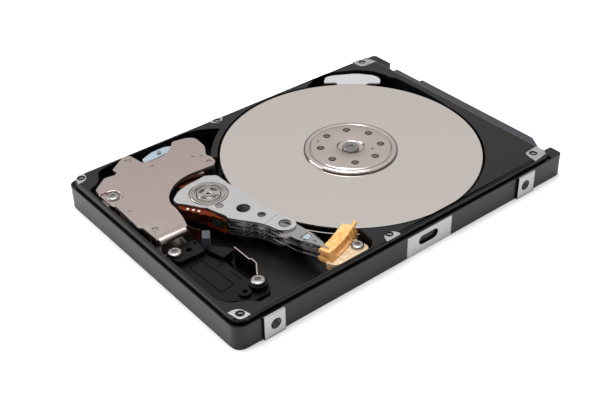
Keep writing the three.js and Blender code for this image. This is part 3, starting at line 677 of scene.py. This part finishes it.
# ---- voice-coil motor -----------------------------------------------------------------------
YOKE = [
    (-24.2, -47.8, 0.5), (-27.2, -43.7, 0.5), (-26.7, -41.1, 0.4), (-27.3, -40.2, 0.3),
    (-29.0, -40.4, 0.4), (-32.3, -35.4, 0.5), (-31.6, -33.9, 0.4), (-30.2, -33.6, 0.3),
    (-27.0, -33.2, 0.4), (-26.3, -31.4, 0.8), (-26.2, -28.6, 1), (-26.7, -26.4, 1),
    (-28.3, -24.1, 0.8), (-30.3, -22.3, 0.6), (-29.8, -20.3, 1), (-29.4, -18.5, 1),
    (-28.2, -17.1, 0.8), (-26.3, -17.0, 1), (-23.2, -17.3, 1), (-19.8, -19.4, 0.8),
    (-18.3, -18.8, 0.5), (-16.2, -19.1, 0.4), (-15.0, -20.4, 0.5), (-15.2, -23.5, 1),
    (-15.5, -27.1, 2), (-15.1, -30.2, 2), (-13.5, -33.5, 2), (-10.8, -36.3, 1.5),
    (-8.1, -37.4, 0.8), (-5.6, -37.5, 0.8), (-1.5, -38.3, 1), (1.4, -39.3, 0.2),
    (1.4, -47.2, 0.2), (-4.7, -47.3, 0.2), (-5.7, -47.9, 0.3), (-15.7, -47.6, 0.3),
    (-17.0, -48.0, 0.3), (-17.2, -45.2, 0.8), (-19.6, -44.0, 1.2), (-21.9, -45.4, 0.8),
    (-22.0, -48.1, 0.3),
]
YOKE_DIMPLES = (((-30.0, -35.4), 0.8), ((-24.1, -32.3), 0.5), ((-21.1, -22.3), 0.45),
                ((-20.1, -20.5), 0.35), ((-17.0, -20.4), 0.75), ((-11.6, -46.2), 0.4),
                ((-2.3, -45.4), 0.75))


def yoke():
    plate = drawn("top_yoke_plate", rounded(YOKE), 7.4, 8.3)
    seat = drawn("seat", rounded([(-22.3, -48.0, 0.4), (-17.0, -48.0, 0.4), (-17.0, -44.4, 1.4),
                                  (-19.6, -43.6, 1.4), (-22.3, -44.6, 1.4)]), 7.45, 7.9)
    carved(plate, seat, operation="UNION")
    roll = peg((1.4, -43.4, 7.4), 0.9, 7.0, "Y", 48)
    carved(plate, roll, operation="UNION")
    for (x, y), radius in YOKE_DIMPLES:
        carved(plate, peg((x, y, 8.3), radius, 0.5, sides=24))
    carved(plate, peg((*YOKE_SCREW, 8), 0.85, 3))
    for a, b in (((0.4, -46.9), (0.4, -39.7)), ((-16.4, -46.9), (-6.2, -46.9)),
                 ((-4.4, -46.4), (0.1, -46.4))):
        carved(plate, groove(a, b, 0.16, 8.24, 9))
    eased(plate, 0.09, 2, angle=38, smooth=30)
    kept(plate, "base", FINISHES["nickel"], ["vcm_top_yoke"])
    for number, (x, y) in enumerate(((-30.0, -35.4), (-2.3, -45.4))):
        rivet = spun(f"yoke_rivet_{number + 1}", [
            (0, 2.6), (1.2, 2.6), (1.2, 7.4), (0.62, 7.45), (0.62, 8.18), (0.5, 8.3), (0.22, 8.32),
            (0.16, 8.22), (0, 8.2)], (x, y), 32)
        ops.object.shade_smooth_by_angle(angle=math.radians(30))
        kept(rivet, "base", FINISHES["steel"], [f"yoke_post_{number + 1}"])
    # A spring clip curls up round the yoke's screw and grips the plate's edge.
    clip = spun("yoke_clip", [(1.9, 7.95), (2.45, 7.95), (2.5, 8.4), (2.4, 8.5), (2.0, 8.5),
                              (1.9, 8.4)], YOKE_SCREW, 28, (20, 190))
    eased(clip, 0.06, 2)
    kept(clip, "base", FINISHES["polished_steel"])


def voice_coil():
    wire = grown("voice_coil", "coil_winding")
    eased(wire, 0.35, 3)
    kept(wire, "actuator", FINISHES["copper"], ["voice_coil"])
    moulding = grown("coil_overmold", "coil_frame")
    eased(moulding, 0.15, 2)
    kept(moulding, "actuator", FINISHES["dark_plastic"], ["coil_overmold"])


# ---- actuator -------------------------------------------------------------------------------
ARM = [
    (-7.1, -22.6, 0.4), (-2.4, -21.9, 1), (5.8, -21.6, 1), (11.0, -20.8, 1), (15.6, -19.6, 1),
    (17.2, -20.6, 1), (17.4, -22.6, 1), (16.2, -24.6, 1), (12.9, -25.4, 1), (10.5, -26.6, 1),
    (7.3, -29.0, 1), (4.9, -30.6, 0.4), (4.0, -30.4, 0.4), (-1.3, -32.0, 1), (-6.0, -30.0),
]
TAIL = [
    (-6.1, -35.2, 0.3), (-7.3, -36.2, 0.3), (-8.8, -36.2, 0.5), (-9.6, -35.4, 0.5),
    (-11.2, -33.2, 1), (-12.0, -29.8, 1), (-12.2, -26.6, 1), (-12.5, -25.0, 0.6),
    (-10.8, -22.5, 0.6), (-9.2, -22.5, 0.6), (-7.1, -22.4), (-3.0, -24.0), (-1.3, -32.0, 0.5),
]
SWAGE = (14.8, -22.1)
ARM_AIM = 9.2
ARM_HOLES = (((-0.2, -29.3), 1.0, 7.0), ((4.1, -25.7), 1.65, 0), ((8.8, -24.0), 1.0, 0),
             (SWAGE, 1.5, 0))


def actuator_block():
    arms = drawn("actuator_block", rounded(TAIL), 3.5, 8.3)
    carved(arms, peg((*PIVOT, 5.9), 5.6, 4.8, sides=96), operation="UNION")
    for low, high in ((7.75, 8.3), (5.87, 6.27), (3.85, 4.43)):
        carved(arms, drawn("arm", rounded(ARM), low, high), operation="UNION")
    carved(arms, peg((*PIVOT, 6), 4.75, 8, sides=72))
    for (x, y), radius, floor in ARM_HOLES:
        carved(arms, peg((x, y, (9 + floor) / 2), radius, 9 - floor, sides=40))
    carved(arms, groove((10.9, -20.6), (12.1, -25.8), 0.12, 8.22, 9))
    eased(arms, 0.07, 2, angle=40, smooth=30)
    kept(arms, "actuator", FINISHES["machined_aluminium"],
         ["e_block"])
    plug = spun("gauge_hole_plug", [(0, 7.02), (0.98, 7.02), (0.98, 8.12), (0, 8.12)],
                (-0.2, -29.3), 32)
    eased(plug, 0.05, 1)
    kept(plug, "actuator", FINISHES["dull_steel"])


def pivot():
    sleeve = spun("pivot_sleeve_turned", [
        (2.84, 3.4), (4.7, 3.4), (4.7, 8.0), (4.5, 8.02), (4.48, 8.3), (4.4, 8.38), (4.1, 8.36),
        (4.0, 8.12), (3.85, 8.12), (3.75, 8.38), (3.5, 8.4), (3.4, 8.0), (3.15, 8.0),
        (3.1, 8.3), (2.95, 8.3), (2.84, 8.1)], PIVOT, 96)
    ops.object.shade_smooth_by_angle(angle=math.radians(25))
    kept(sleeve, "actuator", FINISHES["ground_steel"], ["pivot_sleeve"])
    post = spun("pivot_post_turned", [
        (0, 1.9), (1.2, 1.9), (1.2, 2.8), (3.6, 2.8), (3.6, 3.15), (2.74, 3.15), (2.74, 8.3),
        (2.66, 8.38), (2.35, 8.38), (2.3, 8.2), (1.35, 8.2), (1.25, 8.45), (0.62, 8.45),
        (0.5, 8.3), (0.5, 6.9), (0, 6.6)], PIVOT, 72)
    for degrees in (20, 110, 200, 290):
        carved(post, drawn("slot", rounded(aimed(PIVOT, degrees, [
            (1.5, -0.7, 0.2), (2.3, -1.05, 0.3), (2.45, 0, 0.8), (2.3, 1.05, 0.3),
            (1.5, 0.7, 0.2), (1.6, 0, 0.6)])), 7.6, 9))
    pick_up(post)
    ops.object.shade_smooth_by_angle(angle=math.radians(25))
    kept(post, "base", FINISHES["ground_steel"], ["pivot_shaft"])


FLEX_EDGE = [(-6.2, -35.75), (-1.35, -32.35), (4.6, -30.75)]


def wall(name, path, thickness, low, high):
    """A thin upright sheet along a path, its thickness to the path's right."""
    path = [Vector(p) for p in path]
    far = []
    for i, point in enumerate(path):
        way = (path[min(i + 1, len(path) - 1)] - path[max(i - 1, 0)]).normalized()
        far.append(point + Vector((way.y, -way.x)) * thickness)
    return drawn(name, [*path, *reversed(far)], low, high)


def arm_flex():
    film = wall("arm_flex_wall", FLEX_EDGE, FILM, 4.0, 7.75)
    kept(film, "actuator", FINISHES["flex"], ["arm_flex"])
    edge = [(-6.25, -35.7), (-7.0, -36.0, 0.3), (-6.2, -36.6, 0.3)]
    scallops = 5
    left, right = Vector((-5.3, -36.4)), Vector((3.6, -31.25))
    for k in range(scallops):
        start = left.lerp(right, k / scallops)
        end = left.lerp(right, (k + 1) / scallops)
        edge.append((*start, 0.2))
        edge.append((*(start.lerp(end, 0.5) + Vector((0.2, -0.35))), 0.9))
    edge += [(4.3, -30.95), (-1.3, -32.3)]
    tab = drawn("arm_flex_tab", rounded(edge), 7.72, 7.84)
    eased(tab, 0.03, 1)
    kept(tab, "actuator", FINISHES["amber_film"])
    for number, (x, y) in enumerate(((-4.3, -35.3), (-3.1, -34.5), (-1.9, -33.8))):
        bead = spun(f"arm_flex_solder_{number + 1}", [
            (0, 7.84), (0.45, 7.84), (0.41, 8.0), (0.27, 8.12), (0, 8.17)], (x, y), 24)
        ops.object.shade_smooth_by_angle(angle=math.radians(60))
        kept(bead, "actuator", FINISHES["polished_steel"])
    lower = wall("arm_flex_lower_tab", [(-0.8, -32.35), (4.7, -30.85)], 0.4, 3.95, 4.75)
    eased(lower, 0.04, 1)
    kept(lower, "actuator", FINISHES["amber_film"])
    way = (Vector(FLEX_EDGE[2]) - Vector(FLEX_EDGE[1])).normalized()
    for number, (along, height) in enumerate(
            (a, h) for h in (4.6, 6.6) for a in (5.05, 5.45, 5.85)):
        at = Vector(FLEX_EDGE[1]) + way * along
        pad = wall(f"arm_flex_pad_{number + 1}", [at, at + way * 0.2], 0.24, height, height + 0.8)
        eased(pad, 0.04, 2)
        kept(pad, "actuator", FINISHES["gold"])
    chip = grown("preamp_chip", "preamp_die")
    eased(chip, 0.06, 2)
    kept(chip, "actuator", FINISHES["epoxy"], ["preamp_chip"])


LOOP = [(-7.2, -36.7), (-5.9, -37.4), (-4.6, -37.9), (-3.0, -38.3), (-1.4, -38.45),
        (0.0, -38.35), (1.2, -38.1), (2.3, -37.6), (3.2, -37.1)]


def flex_loop():
    film = wall("flex_loop_film", LOOP, FILM, 4.2, 7.2)
    applied(film, "BEVEL", width=0.02 * MM, segments=1, limit_method="ANGLE",
            angle_limit=math.radians(60))
    ops.object.shade_smooth_by_angle(angle=math.radians(40))
    settle(film)
    film.data.materials.clear()
    film.data.materials.append(FINISHES["flex"])
    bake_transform(film)
    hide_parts("flex_loop")


def suspension(number, plate, beam, node):
    """A base plate, a folded load beam with its windows, and the lift tab at its tip."""
    def at_arm(corners):
        return rounded(aimed(SWAGE, ARM_AIM, corners))

    mount = drawn(f"base_plate_{number}", at_arm([
        (-2.6, -2.3, 1), (5.3, -2.1, 0.3), (5.3, 1.9, 0.3), (-2.6, 2.3, 1)]), *plate)
    carved(mount, peg((*SWAGE, plate[0]), 1.35, 3, sides=40))
    eased(mount, 0.03, 1)
    kept(mount, "actuator", FINISHES["steel"], [node])
    leaf = drawn(f"load_beam_{number}", at_arm([
        (4.6, -2.1), (6.6, -1.9, 0.5), (11.0, -0.7, 0.3), (11.4, -0.25), (12.9, -0.25, 0.1),
        (12.9, 0.25, 0.1), (11.4, 0.25), (11.0, 0.7, 0.3), (6.6, 1.8, 0.5), (4.6, 1.9)]), *beam)
    for corners in ([(5.5, -1.3), (5.8, -1.3), (5.8, 1.2), (5.5, 1.2)],
                    [(8.4, -0.35, 0.3), (9.2, -0.3, 0.3), (9.2, 0.3, 0.3), (8.4, 0.35, 0.3)],
                    [(6.4, 0.9, 0.2), (7.4, 0.6, 0.2), (7.4, 0.9, 0.2), (6.5, 1.2, 0.2)],
                    [(6.4, -0.9, 0.2), (7.4, -0.6, 0.2), (7.4, -0.9, 0.2), (6.5, -1.2, 0.2)]):
        carved(leaf, drawn("window", at_arm(corners), beam[0] - 1, beam[1] + 1))
    for across in (1, -1):
        rail = drawn("rail", at_arm([
            (6.8, across * 1.72), (10.9, across * 0.68), (10.9, across * 0.60),
            (6.8, across * 1.62)][::across]), beam[0], beam[1] + 0.18)
        carved(leaf, rail, operation="UNION")
    eased(leaf, 0.02, 1)
    kept(leaf, "actuator", FINISHES["steel"])


def flexure_tails():
    """The strips that carry each head's leads back along the near side of its arm."""
    path = [(5.2, -30.45), (7.3, -29.08), (10.5, -26.72), (12.9, -25.5), (15.0, -24.88)]
    for number, (low, high) in enumerate(
            ((7.45, 7.74), (6.28, 6.58), (5.56, 5.86), (4.44, 4.74)), 1):
        strip = wall(f"flexure_tail_{number}", path, 0.1, low, high)
        kept(strip, "actuator", FINISHES["steel"])
        for place, a, b in (("rear", path[1], path[2]), ("front", path[2], path[3])):
            a, b = Vector(a), Vector(b)
            way = (b - a).normalized() * 0.35
            for step, share in enumerate((0.2, 0.65), 1):
                at = a.lerp(b, share)
                tab = wall(f"tail_tab_{number}_{place}_{step}", [at, at + way], 0.32,
                           low + 0.02, high - 0.02)
                eased(tab, 0.03, 1)
                kept(tab, "actuator", FINISHES["ground_steel"])


def heads():
    heights = (((7.62, 7.75), (7.62, 7.72)), ((6.27, 6.4), (6.3, 6.4)),
               ((5.74, 5.87), (5.74, 5.84)), ((4.43, 4.56), (4.46, 4.56)))
    for number, (plate, beam) in enumerate(heights, 1):
        suspension(number, plate, beam, f"suspension_{number}")
        slider = grown(f"slider_{number}", f"slider_body_{number}")
        eased(slider, 0.03, 1)
        kept(slider, "actuator", FINISHES["ceramic"], [f"slider_{number}"])
    patch = drawn("beam_damper", rounded(aimed(SWAGE, ARM_AIM, [
        (5.95, -0.9, 0.2), (7.3, -0.75, 0.2), (7.3, 0.8, 0.2), (5.95, 1.0, 0.2)])), 7.72, 7.78)
    eased(patch, 0.02, 1)
    kept(patch, "actuator", FINISHES["white_plastic"])


# ---- load ramp ------------------------------------------------------------------------------
def ramp():
    spine = spun("ramp_spine", [(35.0, 3.35), (36.4, 3.35), (36.4, 5.9), (35.75, 7.6),
                                (35.6, 7.95), (35.05, 8.0)], PIVOT, 24, (11.5, 33))
    for low, high, span in ((4.61, 5.69, (11.7, 30.5)), (6.45, 7.56, (11.9, 30.7))):
        lane = spun("lane", [(32.45, low + 0.25), (33.0, low), (35.2, low), (35.2, high),
                             (33.0, high), (32.45, high - 0.25)], PIVOT, 19, span)
        carved(spine, lane, operation="UNION")
    foot = drawn("ramp_foot", rounded([
        (26.6, -11.6, 0.8), (30.6, -11.0, 1), (31.6, -12.4, 1), (31.2, -21.0, 1),
        (28.8, -22.2, 0.6), (28.6, -17.0, 1)]), 4.8, 5.6)
    carved(foot, peg((*RAMP_SCREW, 6), 0.9, 4), peg((*RAMP_SCREW, 3.8), 2.5, 2, sides=40),
           peg((*SPINDLE, 5.2), 33.0, 0.835, sides=160))
    eased(foot, 0.12, 2)
    kept(foot, "base", FINISHES["ramp_foot"])
    for low, high in ((4.75, 5.585), (6.595, 7.43)):
        carved(spine, peg((*SPINDLE, (low + high) / 2), 33.0, high - low, sides=160))
    carved(spine, peg((*RAMP_SCREW, 6), 0.9, 4), peg((*RAMP_SCREW, 3.8), 2.5, 2, sides=40))
    hollow = spun("hollow", [(35.6, 6.1), (37.5, 6.0), (37.5, 8.5), (35.45, 7.5)], PIVOT, 12,
                  (15.0, 24.5))
    carved(spine, hollow)
    for turn in (25.8, 28.2, 30.6):
        carved(spine, spun("slot_between_teeth", [
            (35.7, 3.0), (37.5, 3.0), (37.5, 8.5), (35.7, 8.5)], PIVOT, 2, (turn, turn + 0.8)))
    eased(spine, 0.12, 2, angle=40, smooth=35)
    kept(spine, "base", FINISHES["amber_plastic"], ["load_ramp"])


# ---- filter, latch, bracket -----------------------------------------------------------------
def felt_filter():
    pad = drawn("filter_pad", rounded([
        (-30.4, 27.4, 0.9), (-32.5, 29.7, 0.9), (-32.1, 31.8, 1.2), (-28.4, 37.8, 1.2),
        (-24.6, 40.7, 1.2), (-22.2, 40.9, 1), (-20.0, 39.1, 1), (-22.4, 36.6, 0.7),
        (-21.9, 35.6, 0.5), (-27.2, 29.6, 0.5), (-28.3, 30.3, 0.6)], 6), 6.3, 6.9)
    eased(pad, 0.24, 4, angle=50, smooth=50)
    kept(pad, "base", FINISHES["filter"], ["recirculation_filter"])
    cradle = drawn("filter_cradle", rounded([
        (-31.6, 29.7, 0.6), (-31.5, 31.8, 1.2), (-28.0, 37.2, 1.2), (-24.6, 39.9, 1.2),
        (-22.6, 39.9, 1), (-22.8, 36.4, 0.7), (-27.0, 30.6, 0.5), (-30.0, 28.9, 0.6)]), 3.2, 6.35)
    eased(cradle, 0.2, 2)
    kept(cradle, "base", FINISHES["dark_plastic"])


def latch():
    arm = grown("inertia_latch", "latch_arm")
    eased(arm, 0.2, 3)
    kept(arm, "latch", FINISHES["white_plastic"], ["inertia_latch"])


def bracket():
    body = grown("flex_bracket", "flex_bracket_moulding")
    rails = [((9.3, -41.2), (20.6, -40.6)), ((20.6, -40.6), (20.8, -44.2)),
             ((20.8, -44.2), (9.8, -44.8)), ((9.8, -44.8), (9.3, -41.2)),
             ((13.2, -38.4), (13.3, -40.2)), ((16.5, -38.6), (20.0, -38.4))]
    for a, b in rails:
        carved(body, groove(a, b, 0.28, 4.0, 4.8))
    eased(body, 0.12, 2, angle=40)
    kept(body, "base", FINISHES["dark_plastic"], ["flex_bracket"])
    path = [(12.2, -34.2), (17.7, -34.3), (18.0, -33.8), (20.1, -34.0), (21.9, -35.3)]
    strip = wall("guide_strip", [*path, (23.0, -36.0)], 0.3, 5.4, 6.35)
    eased(strip, 0.05, 2)
    kept(strip, "base", FINISHES["polished_steel"])
    backing = wall("guide_strip_backing", path, 0.32, 1.65, 5.45)
    eased(backing, 0.05, 1)
    kept(backing, "base", FINISHES["dark_plastic"], ["flex_guide_strip"])
    clamp_block = grown("flex_clamp_block", "flex_clamp_moulding")
    eased(clamp_block, 0.12, 2)
    kept(clamp_block, "base", FINISHES["graphite"], ["flex_clamp_block"])


# ---- underside and the rest -----------------------------------------------------------------
def board_pads():
    """Gold test points and the row that presses on the motor's leads, under the board."""
    spots = [(-8 + 2.2 * k, -12.6) for k in range(8)]
    spots += [(-30 + 3.1 * k, 27.5 - 1.4 * (k % 3)) for k in range(6)]
    spots += [(19 + 2.4 * k, 5 + 2.2 * (k % 2)) for k in range(5)]
    spots += [(-14 + 2.6 * k, 38 + 1.2 * (k % 2)) for k in range(12)]
    for number, at in enumerate(spots):
        pad = spun(f"board_pad_{number + 1}", [
            (0, 0.70), (0.5, 0.70), (0.56, 0.76), (0, 0.76)], at, 20)
        kept(pad, "base", FINISHES["gold"])


def small_parts():
    """Parts whose frame shape is right and only wants its edges softened."""
    softened = {
        "pcb": ("base", 0.05), "controller_chip": ("base", 0.06), "cache_chip": ("base", 0.06),
        "motor_driver_chip": ("base", 0.06), "sata_connector": ("base", 0.08),
        "signal_contacts": ("base", 0.03), "power_contacts": ("base", 0.03),
        "jumper_pins": ("base", 0.05), "bearing_sleeve": ("base", 0.06),
        "stator_core": ("base", 0.03), "stator_windings": ("base", 0.15),
        "vcm_bottom_yoke": ("base", 0.08), "vcm_bottom_magnet": ("base", 0.12),
        "vcm_top_magnet": ("base", 0.12), "yoke_screw_post": ("base", 0.05),
        "crash_stop_outer": ("base", 0.12), "crash_stop_inner": ("base", 0.12),
        "latch_pin": ("base", 0.06), "spindle_hub": ("disk_pack", 0.06),
        "platter_spacer": ("disk_pack", 0.04), "rotor_magnet": ("disk_pack", 0.05),
        "spindle_shaft": ("disk_pack", 0.06),
    }
    softened.update({f"pcb_screw_{number}": ("base", 0.06) for number in (1, 2, 3, 4)})
    slots = {entry["node"]: entry["material_slot"] for entry in frame["record"]["subparts"]}
    for node, (body, width) in softened.items():
        piece = grown(node, f"{node}_finished")
        eased(piece, width, 1)
        kept(piece, body, FINISHES[slots[node]], [node])


camera()
dress_frame()
casting()
side_pads()
centre_panel()
cover_pads()
platters()
clamp()
screws()
yoke()
voice_coil()
actuator_block()
pivot()
arm_flex()
flex_loop()
heads()
flexure_tails()
ramp()
felt_filter()
latch()
bracket()
board_pads()
small_parts()
studio()
